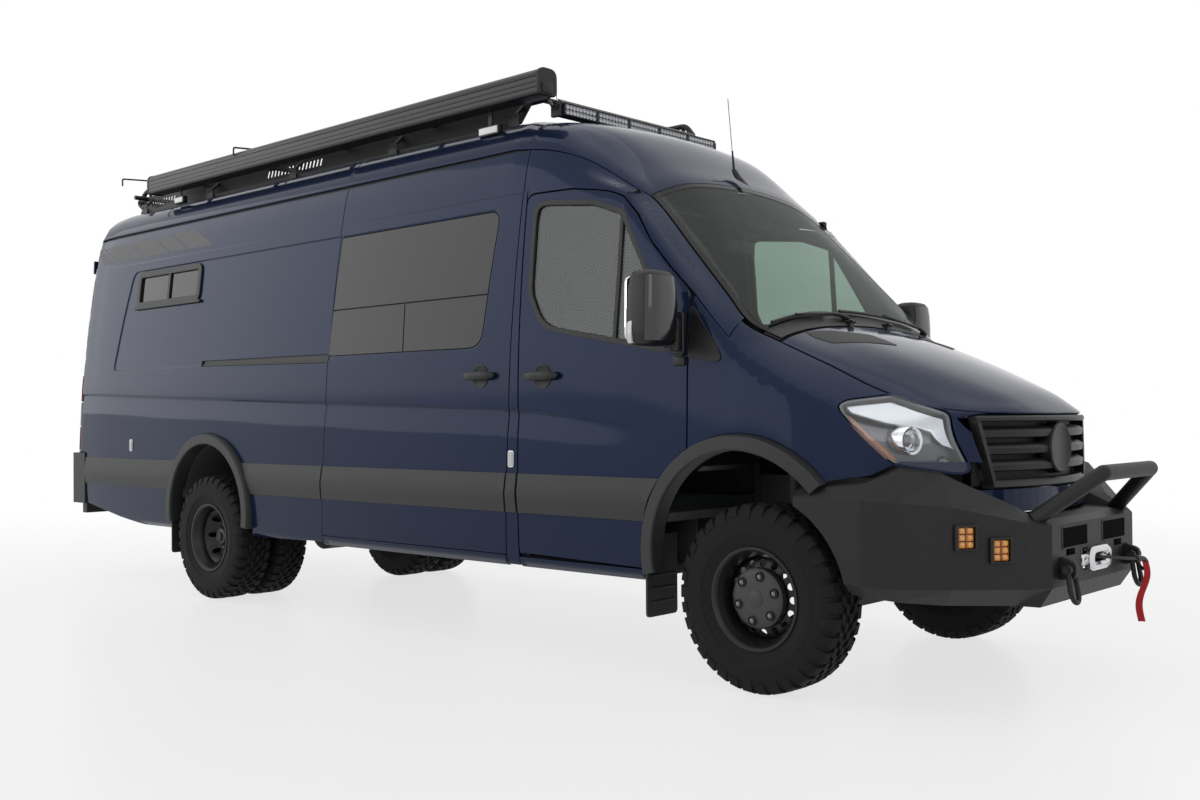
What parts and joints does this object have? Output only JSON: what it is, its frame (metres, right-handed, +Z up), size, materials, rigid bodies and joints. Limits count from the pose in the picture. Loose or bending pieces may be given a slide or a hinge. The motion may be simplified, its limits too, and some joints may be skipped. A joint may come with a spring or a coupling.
{
  "type": "camper van",
  "caption": "Long high-roof camper van with twin rear wheels, steel winch bumper, roof rack and side awning; doors, hood, steering and wheels move.",
  "frame": {"origin": "middle of the van's outer box, on the ground", "axes": "+X forwards, +Y to the van's left, +Z up"},
  "size_m": [7.597, 2.43, 2.945],
  "materials": {
    "blue_paint": "gloss",
    "black_plastic": "matte",
    "tinted_glass": "gloss",
    "black_steel": "matte",
    "bare_steel": "satin",
    "rim_black": "satin",
    "tyre": "matte",
    "wood_floor": "satin",
    "clear_lens": "gloss",
    "amber_lens": "gloss",
    "seat_fabric": "matte"
  },
  "bodies": {
    "body": {"floor": "wood_floor", "side_wall_right": "blue_paint", "side_wall_left": "blue_paint", "roof": "blue_paint", "cab_frame": "blue_paint", "firewall": "black_plastic", "fixed_glass": "tinted_glass", "fender_right": "blue_paint", "fender_left": "blue_paint", "front_panel": "blue_paint", "grille": "black_plastic", "headlights": "clear_lens", "lamps": "amber_lens", "front_bumper": "black_steel", "winch": "bare_steel", "rear_bumper": "black_steel", "sliding_door": "blue_paint", "cladding": "black_plastic", "roof_rack": "black_steel", "awning": "black_plastic", "roof_fittings": "black_steel", "chassis_frame": "black_steel", "front_suspension": "bare_steel", "rear_axle": "bare_steel", "drivetrain": "bare_steel", "dashboard": "black_plastic", "seats": "seat_fabric"},
    "hood": {"hood": "blue_paint"},
    "door_right": {"door_right": "blue_paint", "door_right_trim": "black_plastic", "door_right_glass": "tinted_glass"},
    "door_left": {"door_left": "blue_paint", "door_left_trim": "black_plastic", "door_left_glass": "tinted_glass"},
    "rear_door_right": {"rear_door_right": "blue_paint", "rear_door_right_glass": "tinted_glass"},
    "rear_door_left": {"rear_door_left": "blue_paint", "rear_door_left_glass": "tinted_glass"},
    "knuckle_right": {"knuckle_right": "bare_steel"},
    "knuckle_left": {"knuckle_left": "bare_steel"},
    "wheel_front_right": {"front_rim_right": "rim_black", "front_tyre_right": "tyre"},
    "wheel_front_left": {"front_rim_left": "rim_black", "front_tyre_left": "tyre"},
    "wheels_rear_right": {"rear_rims_right": "rim_black", "rear_tyres_right": "tyre"},
    "wheels_rear_left": {"rear_rims_left": "rim_black", "rear_tyres_left": "tyre"}
  },
  "joints": [
    {"name": "steer_right", "type": "hinge", "parent": "body", "child": "knuckle_right", "pos_m": [2.5665, -0.8, 0.403], "axis": [0, 0, 1], "range_deg": [-35, 35]},
    {"name": "steer_left", "type": "hinge", "parent": "body", "child": "knuckle_left", "pos_m": [2.5665, 0.8, 0.403], "axis": [0, 0, 1], "range_deg": [-35, 35]},
    {"name": "spin_front_right", "type": "hinge", "parent": "knuckle_right", "child": "wheel_front_right", "pos_m": [2.5665, -0.855, 0.403], "axis": [0, 1, 0], "continuous": true},
    {"name": "spin_front_left", "type": "hinge", "parent": "knuckle_left", "child": "wheel_front_left", "pos_m": [2.5665, 0.855, 0.403], "axis": [0, 1, 0], "continuous": true},
    {"name": "spin_rear_right", "type": "hinge", "parent": "body", "child": "wheels_rear_right", "pos_m": [-1.7585, -0.755, 0.403], "axis": [0, 1, 0], "continuous": true},
    {"name": "spin_rear_left", "type": "hinge", "parent": "body", "child": "wheels_rear_left", "pos_m": [-1.7585, 0.755, 0.403], "axis": [0, 1, 0], "continuous": true},
    {"name": "door_right_open", "type": "hinge", "parent": "body", "child": "door_right", "pos_m": [2.23287, -0.9985, 1.2], "axis": [0, 0, 1], "range_deg": [0, 70]},
    {"name": "door_left_open", "type": "hinge", "parent": "body", "child": "door_left", "pos_m": [2.23287, 0.9985, 1.2], "axis": [0, 0, -1], "range_deg": [0, 70]},
    {"name": "rear_door_right_open", "type": "hinge", "parent": "body", "child": "rear_door_right", "pos_m": [-3.77548, -0.859, 0.90058], "axis": [0.0686, 0, 0.9976], "range_deg": [0, 180]},
    {"name": "rear_door_left_open", "type": "hinge", "parent": "body", "child": "rear_door_left", "pos_m": [-3.77548, 0.859, 0.90058], "axis": [-0.0686, 0, -0.9976], "range_deg": [0, 180]},
    {"name": "hood_open", "type": "hinge", "parent": "body", "child": "hood", "pos_m": [2.58138, 0, 1.61123], "axis": [0, -1, 0], "range_deg": [0, 55]}
  ],
  "couplings": [
    {"joint": "steer_left", "follows": "steer_right", "ratio": 1}
  ]
}
